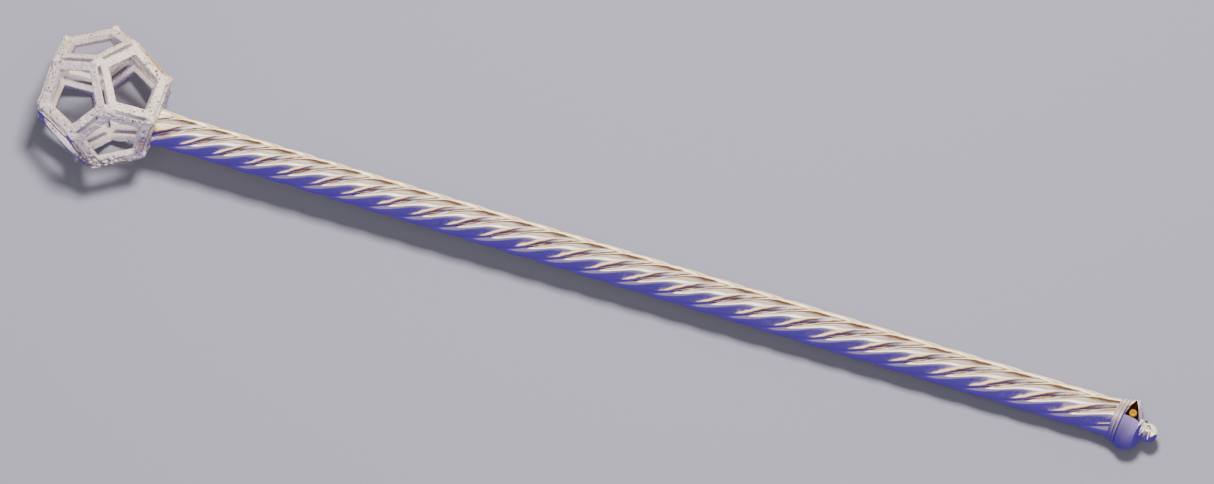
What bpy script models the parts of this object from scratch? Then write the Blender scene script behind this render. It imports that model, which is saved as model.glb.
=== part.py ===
"""A silver sceptre with an openwork twelve-sided head, lying as it comes to rest.

Every piece is shaped about the shaft's own axis. X runs from the head's mounting face at
x = 0 to the foot, and a clock angle about X is counted from -Y (0 degrees) towards +Z (90).
One empty carries all the pieces and lays the sceptre on the plane z = 0, where it touches
with small flats on the head's lowest edge and under the foot's knob.
"""

import math

import bmesh
import bpy
from mathutils import Matrix, Vector

# Shaft: a tube twisted as a rope of rounded lobes, slightly stouter towards the foot.
SHAFT_LENGTH = 0.822
SHAFT_RADIUS_AT_HEAD = 0.0148
SHAFT_RADIUS_AT_FOOT = 0.0160
LOBE_COUNT = 5
LOBE_SPACING_AT_HEAD = 0.0270
LOBE_SPACING_AT_FOOT = 0.0363
GROOVE_SHARE = 0.21
LOBE_POWER = 3.5
GROOVE_PLACE = 0.027
GROOVE_CLOCK = 36.0
HEAD_FLARE_SHARE = 0.10
FOOT_FLARE_SHARE = 0.06
FLARE_REACH = 0.008
SHAFT_RINGS = 100
POINTS_PER_LOBE = 5

# Head: a regular dodecahedron of thick pentagonal frames.
HEAD_RADIUS = 0.061
PLATE_THICKNESS = 0.0063
WINDOW_SHARE = 0.665
SEAM_HALF_WIDTH = 0.0022
SEAM_DEPTH = 0.0026
SLIT_WIDTH = 0.0032
SLIT_SHARE = 0.74
HEAD_CLOCK = 0.0
MOUNT_OFFSET = 0.0074
HEAD_LEAN = 3.0
OFFSET_CLOCK = 171.0

# Foot: a turned collar of two bands, a bulging knob and an end ball, all leaning a little.
FOOT_LEAN = 10.5
FOOT_LEAN_CLOCK = 36.0
BAND_START_RADIUS = 0.0168
BAND_RADII = (0.0183, 0.0193)
BAND_VALLEY_RADII = (0.0174, 0.0172)
BAND_LENGTHS = (0.0038, 0.0036)
KNOB_RADIUS = 0.0214
KNOB_TUBE_RADIUS = 0.0122
KNOB_CENTRE = 0.0128
BALL_RADIUS = 0.0078
BALL_CENTRE = 0.0296
KNOB_END_ANGLE = 84.0
BAND_STEPS = 5
KNOB_STEPS = 12
BALL_STEPS = 9
FOOT_SEGMENTS = 40

# Recess in the knob and the gilt rosette on its floor, placed from the knob's centre.
RECESS_CLOCK = 101.0
RECESS_FLOOR = 0.0118
RECESS_BASE = (-0.0049, 0.0092)
RECESS_BASE_HEIGHT = -0.0012
RECESS_TIP = (-0.0017, 0.0175)
ROSETTE_RADIUS = 0.0035
ROSETTE_THICKNESS = 0.0012
ROSETTE_PLACE = (0.00015, 0.0056)
ROSETTE_TEETH = 12
ROSETTE_TOOTH_SHARE = 0.16

# Shoulder pared off the knob's end on its upper side, down to the ball.
SHOULDER_CLOCK = 171.0
SHOULDER_TILT = 20.0
SHOULDER_POINT = (0.0038, 0.0140)
SHOULDER_FOOT = 0.0062

# Fits and flats.
GAP = 0.0003
HEAD_FLAT_DEPTH = 0.0006
KNOB_FLAT_DEPTH = 0.0004
SETTLING_STEPS = 8
CUTTER_REACH = 0.004
SHARP_ANGLE = 35.0
COPLANAR_ANGLE = 5.0
ON_AXIS = 1e-6
MOUNTING_FACE_TEST = 0.9

GOLDEN = (1 + math.sqrt(5)) / 2
FIFTH = 2 * math.pi / 5

# Colour and roughness of each metal.
SILVER_MATT = ((0.62, 0.60, 0.57, 1), 0.45)
SILVER_POLISHED = ((0.82, 0.82, 0.84, 1), 0.12)
GILT = ((0.83, 0.58, 0.20, 1), 0.30)


def clear_scene():
    for existing in list(bpy.data.objects):
        bpy.data.objects.remove(existing, do_unlink=True)


def metal(name, colour, roughness):
    material = bpy.data.materials.new(name)
    material.use_nodes = True
    shader = material.node_tree.nodes["Principled BSDF"]
    shader.inputs["Base Color"].default_value = colour
    shader.inputs["Metallic"].default_value = 1.0
    shader.inputs["Roughness"].default_value = roughness
    return material


def piece_from(name, shape, parent, material=None):
    """Turn a bmesh into an object on the given parent."""
    bmesh.ops.recalc_face_normals(shape, faces=shape.faces)
    mesh = bpy.data.meshes.new(name)
    shape.to_mesh(mesh)
    shape.free()
    piece = bpy.data.objects.new(name, mesh)
    bpy.context.collection.objects.link(piece)
    piece.parent = parent
    if material:
        mesh.materials.append(material)
    return piece


def smooth(piece):
    piece.data.shade_smooth()
    piece.data.set_sharp_from_angle(angle=math.radians(SHARP_ANGLE))


def cut(piece, cutter):
    cutter.hide_render = True
    cutter.display_type = "WIRE"
    modifier = piece.modifiers.new("cut by " + cutter.name, "BOOLEAN")
    modifier.operation = "DIFFERENCE"
    modifier.solver = "EXACT"
    modifier.object = cutter


def prism(shape, outline, along):
    """Close an outline and its copy moved by along into one body inside shape."""
    near = [shape.verts.new(point) for point in outline]
    far = [shape.verts.new(point + along) for point in outline]
    shape.faces.new(near)
    shape.faces.new(list(reversed(far)))
    for index, corner in enumerate(near):
        following = (index + 1) % len(near)
        shape.faces.new([near[following], corner, far[index], far[following]])


def at_clock(x, radius, clock):
    """The point at a distance from the X axis, with its clock angle in radians."""
    return Vector((x, -radius * math.cos(clock), radius * math.sin(clock)))


# ---------------------------------------------------------------- frames of head and foot

def lean_towards(degrees, aside):
    """The turn that tips the X axis towards a direction square to it."""
    return Matrix.Rotation(math.radians(degrees), 4, Vector((1, 0, 0)).cross(aside))


def head_frame():
    """Where the head's centre and axis are, against the shaft's axis."""
    aside = at_clock(0, 1, math.radians(OFFSET_CLOCK))
    lean = lean_towards(HEAD_LEAN, -aside)
    mount_centre = aside * MOUNT_OFFSET
    centre = mount_centre - lean @ Vector((face_distance(), 0, 0))
    return Matrix.Translation(centre) @ lean


def foot_frame():
    """Where the collar starts, with X along the finial's own axis."""
    lean = lean_towards(FOOT_LEAN, at_clock(0, 1, math.radians(FOOT_LEAN_CLOCK)))
    return Matrix.Translation((SHAFT_LENGTH, 0, 0)) @ lean


def plane_crossing(frame, x_in_frame, y, z):
    """The x at which a line along X meets the plane x = x_in_frame of a frame."""
    normal = frame.to_3x3() @ Vector((1, 0, 0))
    point = frame @ Vector((x_in_frame, 0, 0))
    return point.x - (normal.y * (y - point.y) + normal.z * (z - point.z)) / normal.x


# ---------------------------------------------------------------- head

def edge_length():
    return HEAD_RADIUS * 4 / (math.sqrt(3) * (1 + math.sqrt(5)))


def face_ring():
    return edge_length() / (2 * math.sin(FIFTH / 2))


def face_distance():
    return math.sqrt(HEAD_RADIUS ** 2 - face_ring() ** 2)


def dodecahedron_corners():
    """Four rings of five corners, with a face square to X at each end."""
    waist_ring = GOLDEN * face_ring()
    waist_distance = math.sqrt(HEAD_RADIUS ** 2 - waist_ring ** 2)
    turn = math.radians(HEAD_CLOCK)
    corners = []
    for step in range(5):
        front = turn + FIFTH * step
        back = front + FIFTH / 2
        corners.append(at_clock(face_distance(), face_ring(), front))
        corners.append(at_clock(waist_distance, waist_ring, front))
        corners.append(at_clock(-waist_distance, waist_ring, back))
        corners.append(at_clock(-face_distance(), face_ring(), back))
    return corners


def dodecahedron(scale=1.0):
    shape = bmesh.new()
    for corner in dodecahedron_corners():
        shape.verts.new(corner * scale)
    bmesh.ops.convex_hull(shape, input=shape.verts)
    bmesh.ops.dissolve_limit(shape, angle_limit=math.radians(COPLANAR_ANGLE), verts=shape.verts,
                              edges=shape.edges)
    return shape


def window_cutters():
    """One pentagonal prism for each face, apart from the mounting face."""
    solid = dodecahedron()
    cutters = bmesh.new()
    for face in solid.faces:
        normal = face.normal.normalized()
        if normal.x > MOUNTING_FACE_TEST:
            continue
        centre = face.calc_center_median()
        outline = [centre + (corner.co - centre) * WINDOW_SHARE for corner in face.verts]
        start = normal * (PLATE_THICKNESS + CUTTER_REACH)
        depth = normal * (PLATE_THICKNESS + 2 * CUTTER_REACH)
        prism(cutters, [point - start for point in outline], depth)
    solid.free()
    return cutters


def slit_cutters():
    """One narrow slot along the middle of every edge, right through the frames."""
    solid = dodecahedron()
    half_dihedral = math.atan(GOLDEN)
    slit_depth = PLATE_THICKNESS / math.sin(half_dihedral)
    cutters = bmesh.new()
    for edge in solid.edges:
        ends = [end.co for end in edge.verts]
        middle = (ends[0] + ends[1]) / 2
        outward = middle.normalized()
        along = (ends[1] - ends[0]) / 2 * SLIT_SHARE
        across = outward.cross(along).normalized() * SLIT_WIDTH / 2
        inner = middle - outward * (slit_depth + CUTTER_REACH)
        outline = [inner + along + across, inner - along + across,
                   inner - along - across, inner + along - across]
        prism(cutters, outline, outward * (slit_depth + 2 * CUTTER_REACH))
    solid.free()
    return cutters


def build_head(parent, material):
    shape = dodecahedron()
    corners = list(shape.verts)
    bmesh.ops.inset_individual(shape, faces=shape.faces, thickness=SEAM_HALF_WIDTH)
    for corner in corners:
        corner.co -= corner.co.normalized() * SEAM_DEPTH
    head = piece_from("head", shape, parent, material)
    cavity_scale = 1 - PLATE_THICKNESS / face_distance()
    cutters = {
        "head_cavity_cutter": dodecahedron(cavity_scale),
        "head_window_cutter": window_cutters(),
        "head_slit_cutter": slit_cutters(),
    }
    head.matrix_local = head_frame()
    for name, body in cutters.items():
        cutter = piece_from(name, body, parent)
        cutter.matrix_local = head_frame()
        cut(head, cutter)
    return head


# ---------------------------------------------------------------- shaft

def lobe_radius(offset, outer):
    """Radius at an angle from a lobe's middle: a broad crown that falls off steeply to the groove."""
    return outer * (1 - GROOVE_SHARE * abs(offset / (FIFTH / 2)) ** LOBE_POWER)


def outer_radius(share):
    plain = SHAFT_RADIUS_AT_HEAD + (SHAFT_RADIUS_AT_FOOT - SHAFT_RADIUS_AT_HEAD) * share
    head_flare = HEAD_FLARE_SHARE * math.exp(-share * SHAFT_LENGTH / FLARE_REACH)
    foot_flare = FOOT_FLARE_SHARE * math.exp((share - 1) * SHAFT_LENGTH / FLARE_REACH)
    return plain * (1 + head_flare + foot_flare)


def twist_clock(x):
    """Clock angle of one groove; lobes pass at a spacing that grows evenly with x."""
    growth = (LOBE_SPACING_AT_FOOT - LOBE_SPACING_AT_HEAD) / SHAFT_LENGTH

    def lobes_passed(place):
        return math.log(1 + growth * place / LOBE_SPACING_AT_HEAD) / growth

    turned = lobes_passed(x) - lobes_passed(GROOVE_PLACE)
    return math.radians(GROOVE_CLOCK) + FIFTH * turned


def build_shaft(parent, material):
    shape = bmesh.new()
    points = LOBE_COUNT * POINTS_PER_LOBE
    head_plane = head_frame()
    foot_plane = foot_frame()
    rings = []
    for step in range(SHAFT_RINGS + 1):
        share = step / SHAFT_RINGS
        ring = []
        for index in range(points):
            from_groove = FIFTH * (index % POINTS_PER_LOBE) / POINTS_PER_LOBE
            radius = lobe_radius(from_groove - FIFTH / 2, outer_radius(share))
            clock = twist_clock(share * SHAFT_LENGTH) + 2 * math.pi * index / points
            spot = at_clock(0, radius, clock)
            start = plane_crossing(head_plane, face_distance() + GAP, spot.y, spot.z)
            end = plane_crossing(foot_plane, -GAP, spot.y, spot.z)
            spot.x = start + (end - start) * share
            ring.append(shape.verts.new(spot))
        rings.append(ring)
    bmesh.ops.contextual_create(shape, geom=rings[0])
    bmesh.ops.contextual_create(shape, geom=rings[-1])
    for near, far in zip(rings, rings[1:]):
        for index in range(points):
            following = (index + 1) % points
            shape.faces.new([near[index], near[following], far[following], far[index]])
    shaft = piece_from("shaft", shape, parent, material)
    smooth(shaft)
    return shaft


# ---------------------------------------------------------------- foot

def arc_points(centre_x, centre_r, radius, start_deg, end_deg, steps):
    """Points of a round stretch of a turned profile, angles counted from +r towards +x."""
    points = []
    for step in range(steps + 1):
        angle = math.radians(start_deg + (end_deg - start_deg) * step / steps)
        points.append((centre_x + radius * math.sin(angle), centre_r + radius * math.cos(angle)))
    return points


def band_points(start, length, start_radius, crown_radius, end_radius):
    """A rounded band: a half sine crown on a straight chord."""
    points = []
    for step in range(BAND_STEPS + 1):
        share = step / BAND_STEPS
        chord = start_radius + (end_radius - start_radius) * share
        crown = crown_radius - (start_radius + end_radius) / 2
        points.append((start + length * share, chord + crown * math.sin(math.pi * share)))
    return points


def foot_profile():
    ring_radius = KNOB_RADIUS - KNOB_TUBE_RADIUS
    knob_start = sum(BAND_LENGTHS) + GAP
    knob_angle = math.degrees(math.asin((KNOB_CENTRE - knob_start) / KNOB_TUBE_RADIUS))
    first = band_points(0, BAND_LENGTHS[0], BAND_START_RADIUS, BAND_RADII[0], BAND_VALLEY_RADII[0])
    second = band_points(BAND_LENGTHS[0], BAND_LENGTHS[1], BAND_VALLEY_RADII[0], BAND_RADII[1],
                         BAND_VALLEY_RADII[1])
    knob = arc_points(KNOB_CENTRE, ring_radius, KNOB_TUBE_RADIUS, -knob_angle, KNOB_END_ANGLE, KNOB_STEPS)
    neck_angle = math.degrees(math.asin((BALL_CENTRE - KNOB_CENTRE - KNOB_TUBE_RADIUS) / BALL_RADIUS))
    ball = arc_points(BALL_CENTRE, 0, BALL_RADIUS, -neck_angle, 90, BALL_STEPS)
    return first + second[1:] + knob + ball


def turned(profile):
    """Spin an outline about X into one closed body."""
    shape = bmesh.new()
    rings = []
    for x, radius in profile:
        if radius < ON_AXIS:
            rings.append([shape.verts.new((x, 0, 0))])
            continue
        ring = []
        for index in range(FOOT_SEGMENTS):
            ring.append(shape.verts.new(at_clock(x, radius, 2 * math.pi * index / FOOT_SEGMENTS)))
        rings.append(ring)
    for near, far in zip(rings, rings[1:]):
        for index in range(FOOT_SEGMENTS):
            following = (index + 1) % FOOT_SEGMENTS
            if len(far) == 1:
                shape.faces.new([near[index], near[following], far[0]])
            else:
                shape.faces.new([near[index], near[following], far[following], far[index]])
    bmesh.ops.contextual_create(shape, geom=rings[0])
    return shape


def recess_point(along, tangential, height):
    """A point of the recess: along the finial, up the knob's side and out from its axis."""
    clock = math.radians(RECESS_CLOCK)
    return at_clock(KNOB_CENTRE + along, height, clock) + at_clock(0, tangential, clock + math.pi / 2)


def recess_cutter():
    shape = bmesh.new()
    corners = [(RECESS_BASE[0], RECESS_BASE_HEIGHT), (RECESS_BASE[1], RECESS_BASE_HEIGHT), RECESS_TIP]
    outline = [recess_point(along, tangential, RECESS_FLOOR) for along, tangential in corners]
    prism(shape, outline, at_clock(0, KNOB_RADIUS, math.radians(RECESS_CLOCK)))
    return shape


def shoulder_cutter():
    """A block whose lower face is the slanted plane on the knob's end."""
    clock = math.radians(SHOULDER_CLOCK)
    tilt = math.radians(SHOULDER_TILT)
    outward = at_clock(0, 1, clock)
    across = at_clock(0, KNOB_RADIUS, clock + math.pi / 2)
    normal = Vector((math.cos(tilt), 0, 0)) + outward * math.sin(tilt)
    inward = Vector((math.sin(tilt), 0, 0)) - outward * math.cos(tilt)
    start = Vector((KNOB_CENTRE + SHOULDER_POINT[0], 0, 0)) + outward * SHOULDER_POINT[1]
    to_foot = inward * (SHOULDER_POINT[1] - SHOULDER_FOOT)
    to_rim = inward * -KNOB_RADIUS
    shape = bmesh.new()
    outline = [start + to_foot - across, start + to_foot + across,
               start + to_rim + across, start + to_rim - across]
    prism(shape, outline, normal * KNOB_RADIUS)
    return shape


def build_foot(parent, material):
    foot = piece_from("foot_finial", turned(foot_profile()), parent, material)
    smooth(foot)
    foot.matrix_local = foot_frame()
    cutters = {"knob_recess_cutter": recess_cutter(), "knob_shoulder_cutter": shoulder_cutter()}
    for name, body in cutters.items():
        cutter = piece_from(name, body, parent)
        cutter.matrix_local = foot_frame()
        cut(foot, cutter)
    return foot


def build_rosette(parent, material):
    """A toothed disc lying on the recess floor."""
    shape = bmesh.new()
    outline = []
    steps = ROSETTE_TEETH * 4
    for step in range(steps):
        angle = 2 * math.pi * step / steps
        radius = ROSETTE_RADIUS * (1 if step % 4 < 2 else 1 - ROSETTE_TOOTH_SHARE)
        along = ROSETTE_PLACE[0] + radius * math.cos(angle)
        tangential = ROSETTE_PLACE[1] + radius * math.sin(angle)
        outline.append(recess_point(along, tangential, RECESS_FLOOR + GAP))
    prism(shape, outline, at_clock(0, ROSETTE_THICKNESS, math.radians(RECESS_CLOCK)))
    rosette = piece_from("foot_gilt_rosette", shape, parent, material)
    rosette.matrix_local = foot_frame()
    return rosette


# ---------------------------------------------------------------- lying down

def lowest_head_corners():
    """The two corners of the head's edge that faces down, in the shaft's frame."""
    frame = head_frame()
    corners = [frame @ corner for corner in dodecahedron_corners()]
    return sorted(corners, key=lambda corner: corner.z)[:2]


def knob_underside(up):
    """The knob's lowest point for a given upward direction, in the shaft's frame."""
    frame = foot_frame()
    axis = frame.to_3x3() @ Vector((1, 0, 0))
    sideways = (up - axis * up.dot(axis)).normalized()
    centre = frame @ Vector((KNOB_CENTRE, 0, 0))
    return centre - sideways * (KNOB_RADIUS - KNOB_TUBE_RADIUS) - up * KNOB_TUBE_RADIUS


def lying_matrix():
    """Turn the sceptre so that both head corners and the knob meet one level plane."""
    seam_rise = SEAM_HALF_WIDTH * math.cos(math.atan(GOLDEN))
    up = Vector((0, 0, 1))
    for _ in range(SETTLING_STEPS):
        head_points = [corner + up * (seam_rise + HEAD_FLAT_DEPTH) for corner in lowest_head_corners()]
        knob_point = knob_underside(up) + up * KNOB_FLAT_DEPTH
        normal = (head_points[1] - head_points[0]).cross(knob_point - head_points[0]).normalized()
        up = normal if normal.z > 0 else -normal
    forward = (Vector((1, 0, 0)) - up * up.x).normalized()
    turn = Matrix((forward, up.cross(forward), up)).to_4x4()
    return Matrix.Translation((0, 0, -up.dot(knob_point))) @ turn


def bounds_of(pieces):
    """Lowest and highest corner of the finished pieces in the world."""
    bpy.context.view_layer.update()
    dependencies = bpy.context.evaluated_depsgraph_get()
    points = []
    for piece in pieces:
        finished = piece.evaluated_get(dependencies)
        points += [finished.matrix_world @ vertex.co for vertex in finished.data.vertices]
    low = Vector([min(point[axis] for point in points) for axis in range(3)])
    high = Vector([max(point[axis] for point in points) for axis in range(3)])
    return low, high


def floor_cutter():
    shape = bmesh.new()
    side = 2 * SHAFT_LENGTH
    outline = [Vector((side, side, -side)), Vector((side, -side, -side)),
               Vector((-side, -side, -side)), Vector((-side, side, -side))]
    prism(shape, outline, Vector((0, 0, side)))
    return piece_from("floor_cutter", shape, None)


def main():
    clear_scene()
    carrier = bpy.data.objects.new("sceptre_lying", None)
    bpy.context.collection.objects.link(carrier)
    polished = metal("silver_polished", *SILVER_POLISHED)
    head = build_head(carrier, metal("silver_matt", *SILVER_MATT))
    shaft = build_shaft(carrier, polished)
    foot = build_foot(carrier, polished)
    rosette = build_rosette(carrier, metal("gilt", *GILT))
    carrier.matrix_world = lying_matrix()
    floor = floor_cutter()
    for piece in (head, foot):
        cut(piece, floor)
    low, high = bounds_of([head, shaft, foot, rosette])
    middle = (low + high) / 2
    carrier.matrix_world = Matrix.Translation((-middle.x, -middle.y, 0)) @ carrier.matrix_world


main()
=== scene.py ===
"""The looks of a silver sceptre that lies on a pale floor.

The pieces are shaped about the shaft's own axis, with the solids' sizes. X runs from the head's
mounting face at x = 0 to the foot. A clock angle about X is counted from -Y (0 degrees) towards
+Z (90). lying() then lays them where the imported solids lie.

Constants hold lengths in metres and angles in degrees. Where one is a pair named REACH, FLANK or
FADE, something comes in or fades out between its two values.
"""

import math

import bmesh
import bpy
import numpy as np
from mathutils import Matrix, Vector, noise


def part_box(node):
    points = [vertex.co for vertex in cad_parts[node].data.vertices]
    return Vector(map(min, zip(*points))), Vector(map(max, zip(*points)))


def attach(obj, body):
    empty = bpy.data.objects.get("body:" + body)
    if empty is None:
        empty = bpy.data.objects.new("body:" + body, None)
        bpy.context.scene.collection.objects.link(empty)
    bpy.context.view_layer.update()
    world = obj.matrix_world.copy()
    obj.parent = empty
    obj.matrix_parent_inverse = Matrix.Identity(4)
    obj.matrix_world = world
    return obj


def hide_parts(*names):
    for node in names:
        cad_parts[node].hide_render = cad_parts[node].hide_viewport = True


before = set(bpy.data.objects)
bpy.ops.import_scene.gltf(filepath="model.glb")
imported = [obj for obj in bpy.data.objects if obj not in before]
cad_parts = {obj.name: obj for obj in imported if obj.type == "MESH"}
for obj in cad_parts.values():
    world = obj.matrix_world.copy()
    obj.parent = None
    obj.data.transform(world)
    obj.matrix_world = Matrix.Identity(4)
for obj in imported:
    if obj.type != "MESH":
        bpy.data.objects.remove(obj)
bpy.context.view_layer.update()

# Shaft, as in the solids.
SHAFT_LENGTH = 0.822
SHAFT_RADIUS_AT_HEAD = 0.0148
SHAFT_RADIUS_AT_FOOT = 0.0160
LOBE_COUNT = 5
LOBE_SPACING_AT_HEAD = 0.0270
LOBE_SPACING_AT_FOOT = 0.0363
GROOVE_PLACE = 0.027
GROOVE_CLOCK = 36.0
HEAD_FLARE_SHARE = 0.10
FOOT_FLARE_SHARE = 0.06
FLARE_REACH = 0.008
GAP = 0.0003

# Shaft, finer: a lobe is broad and falls off steeply into a narrow groove. The depth is a share of
# the outer radius, and the round at the groove's bottom a share of half a lobe. A lobe's points
# crowd towards its grooves. Each wave of the surface has a height, a length and a seed.
GROOVE_SHARE = 0.21
LOBE_POWER = 3.5
GROOVE_ROUND = 0.06
SHAFT_RINGS = 820
POINTS_PER_LOBE = 20
POINT_CROWDING = 1.6
SHAFT_WAVES = ((0.00013, 0.010, 11), (0.00004, 0.0042, 12))
SHAFT_SHARP_ANGLE = 50.0

# Painted shade lies in the grooves, up to a reach on either side of a clock angle.
GROOVE_SHADE_CLOCK = 115.0
GROOVE_SHADE_REACH = (62, 88)

# Head, as in the solids.
HEAD_RADIUS = 0.061
PLATE_THICKNESS = 0.0063
WINDOW_SHARE = 0.665
SLIT_WIDTH = 0.0032
SLIT_SHARE = 0.74
HEAD_CLOCK = 0.0
MOUNT_OFFSET = 0.0074
HEAD_LEAN = 3.0
OFFSET_CLOCK = 171.0
MOUNTING_FACE_TEST = 0.9

# Head, finer: the frames' faces.
SEAM_HALF_WIDTH = 0.0016
SEAM_DEPTH = 0.0018
HEAD_VOXEL = 0.00092
COPLANAR_ANGLE = 5.0

# Head, finer: the relief. Each kind has its cells' size and its height or depth, and is weaker
# inside the frames. The low rim, a direction from the head's middle, is nuggety all along.
OUTER_REACH = (0.0008, 0.0052)
PATCH_CELL = 0.022
PATCH_REACH = (-0.25, 0.35)
LEAST_ROUGH = 0.35
SWELL_CELL = 0.0065
SWELL_HEIGHT = 0.0003
NUGGET_CELL = 0.0050
NUGGET_FLANK = (0.0, 0.45)
NUGGET_SINK = 0.8
NUGGET_HEIGHT = 0.0003
RIM_NUGGET_HEIGHT = 0.0011
GRAIN_CELL = 0.0021
GRAIN_HEIGHT = 0.0003
INNER_GRAIN_HEIGHT = 0.00006
PIT_CELL = 0.0048
PIT_FLANK = (0.16, 0.32)
PIT_DEPTH = 0.0006
LOW_RIM = (0.28, -0.94, -0.17)
LOW_RIM_REACH = (0.80, 0.95)

# Drops of metal stand at the head's corners: high ones at three, by the corner's number.
DROP_CORNERS = (8, 10, 11)
DROP_WIDTH = 0.0026
DROP_HEIGHT = 0.0034
LOW_DROP_SHARE = 0.15

# Where the head's colours go. A side is a direction as the sceptre lies, and the gilt spot is a
# mean of corners, each with its number and its share.
RIM_GAP_REACH = (0.03, 0.20)
PIT_HOLLOW_SHARE = 0.35
# The head's rim gets a painted gold reflection on the side facing this direction.
GOLD_REFLECTION_SIDE = (0.56, 0.83, 0.0)
GOLD_REFLECTION_REACH = (0.80, 0.92)
# The side facing the key lamp keeps fewer dark pits, as painted light.
LIT_SIDE = (0.10, 0.34, 0.935)
LIT_REACH = (0.65, 0.97)
LIT_SHARE = 0.75
BRIGHT_SIDE = (-0.45, -0.86, -0.15)
BRIGHT_FACING_REACH = (0.45, 0.75)
BRIGHT_REACH = (0.35, 0.60)
GILT_SPOT = ((0, 0.52), (4, 0.36), (1, 0.04), (2, 0.04), (5, 0.04))
GILT_FADE = (0.0014, 0.0026)
RUBBED_FADE = (0.006, 0.015)

# Foot, as in the solids.
FOOT_LEAN = 10.5
FOOT_LEAN_CLOCK = 36.0
BAND_START_RADIUS = 0.0168
BAND_RADII = (0.0183, 0.0193)
BAND_VALLEY_RADII = (0.0174, 0.0172)
BAND_LENGTHS = (0.0038, 0.0036)
KNOB_RADIUS = 0.0214
KNOB_TUBE_RADIUS = 0.0122
KNOB_CENTRE = 0.0128
KNOB_END_ANGLE = 84.0
BALL_RADIUS = 0.0078
BALL_CENTRE = 0.0296
RECESS_CLOCK = 101.0
RECESS_FLOOR = 0.0118
RECESS_BASE = (-0.0049, 0.0092)
RECESS_BASE_HEIGHT = -0.0012
RECESS_TIP = (-0.0017, 0.0175)
ROSETTE_RADIUS = 0.0035
ROSETTE_THICKNESS = 0.0012
ROSETTE_PLACE = (0.00015, 0.0056)
ROSETTE_TEETH = 12
ROSETTE_TOOTH_SHARE = 0.16
SHOULDER_CLOCK = 171.0
SHOULDER_TILT = 20.0
SHOULDER_POINT = (0.0038, 0.0140)
SHOULDER_FOOT = 0.0062

# Foot, finer.
FOOT_SEGMENTS = 160
COLLAR_GAP_SHARE = 0.05
BAND_FULLNESS = 0.5
BAND_STEPS = 14
KNOB_STEPS = 48
BALL_STEPS = 30
BEVEL_WIDTH = 0.00035
BEVEL_SEGMENTS = 3
BEVEL_ANGLE = 38.0
FOOT_SHARP_ANGLE = 40.0

# The collar and the knob are satin with a painted blue reflection, both less so at the knob's lip beside
# the recess.
BAND_SATIN_AND_REFLECTION = 0.45
LIP_CLOCK = 142.0
LIP_REACH = (0.78, 0.92)
LIP_SHARE = 0.7

# Rosette, finer: each ring's reach and height are shares of the radius and the thickness.
ROSETTE_RINGS = (
    (1.0, 0.0), (1.0, 0.70), (0.90, 1.0), (0.62, 0.92), (0.36, 1.0), (0.28, 0.80), (0.20, 0.30),
)
POINTS_PER_TOOTH = 8
TOOTH_FLANK = (0.2, 0.8)
TOOTHED_FROM = 0.5
ROSETTE_HOLLOW_SHARE = 0.24
ROSETTE_SHARP_ANGLE = 35.0

# How it lies.
LYING_SEAM = 0.0022
HEAD_FLAT_DEPTH = 0.0006
KNOB_FLAT_DEPTH = 0.0004
SETTLING_STEPS = 8
FLOOR_CLEARANCE = 0.00003

# Camera: the photo's viewing direction, seen through a long lens. Lens and sensor in millimetres.
CAMERA_AZIMUTH = 27.355
CAMERA_ELEVATION = 80.502
CAMERA_ROLL = -10.462
CAMERA_DISTANCE = 9.690
CAMERA_TARGET = (0.00106, 0.00831, 0.030)
CAMERA_LENS = 350.0
CAMERA_SENSOR = 36.0
CAMERA_CLIP_END = 100.0

# Colours of the polished silver, the matt silver, the gilding and the floor.
SILVER_BRIGHT = (0.90, 0.89, 0.87, 1)
SILVER_GREYER = (0.80, 0.79, 0.80, 1)
# A painted blue reflection on the satin collar and knob.
SATIN_BLUE_REFLECTION = (0.34, 0.31, 0.66, 1)
# Painted shade in the shaft's grooves, brown and then near-black.
GROOVE_SHADE_BROWN = (0.40, 0.24, 0.12, 1)
GROOVE_SHADE_BLACK = (0.07, 0.04, 0.03, 1)
# Painted shade in the foot's recess.
RECESS_PAINTED_SHADE = (0.05, 0.022, 0.010, 1)
MATT_WHITE = (1.0, 0.96, 0.92, 1)
MATT_GREYER = (0.93, 0.88, 0.85, 1)
MATT_SPECKS = (0.50, 0.43, 0.43, 1)
MATT_DARK = (0.08, 0.042, 0.04, 1)
# A painted gold reflection on the head's rim.
RIM_GOLD_REFLECTION = (0.62, 0.33, 0.08, 1)
SPOT_GOLD = (1.00, 0.66, 0.10, 1)
GILT_LIGHT = (0.47, 0.235, 0.012, 1)
GILT_DEEP = (0.36, 0.165, 0.006, 1)
GILT_DARK = (0.12, 0.05, 0.02, 1)
FLOOR_COLOUR = (0.185, 0.185, 0.228, 1)

FLOOR_HALF_SIZE = 12.0

FLOOR_ROUGHNESS = 0.9
FLOOR_SPECULAR = 0.1

# Surfaces: what satin and the recess add to the roughness, how metallic the dull metals are, and
# how dark and how deep the matt silver's pits are. A wandering noise pulls the pits' outlines by
# the drift.
SATIN_ROUGHNESS = 0.50
RECESS_ROUGHNESS = 0.25
MATT_METALLIC = 0.70
GILT_METALLIC = 0.5
PIT_DARKNESS = 0.93
PIT_BUMP = 0.5
GRAIN_BUMP = 0.25
PIT_DRIFT = 0.0022

# Lamps: name, place, size, energy in watts and colour.
LAMP_AIM = (0.0, 0.0, 0.0)
LAMPS = (
    ("key", (0.0, 0.85, 2.8), (0.5, 0.45), 265, (1.0, 0.95, 0.90)),
    ("overhead", (0.1, -0.5, 3.0), (2.4, 1.0), 26, (1.0, 0.98, 0.95)),
)

# The world's plain light, for every ray but a mirrored one.
PLAIN_COLOUR = (0.60, 0.60, 0.64, 1)
PLAIN_STRENGTH = 0.80

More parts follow.
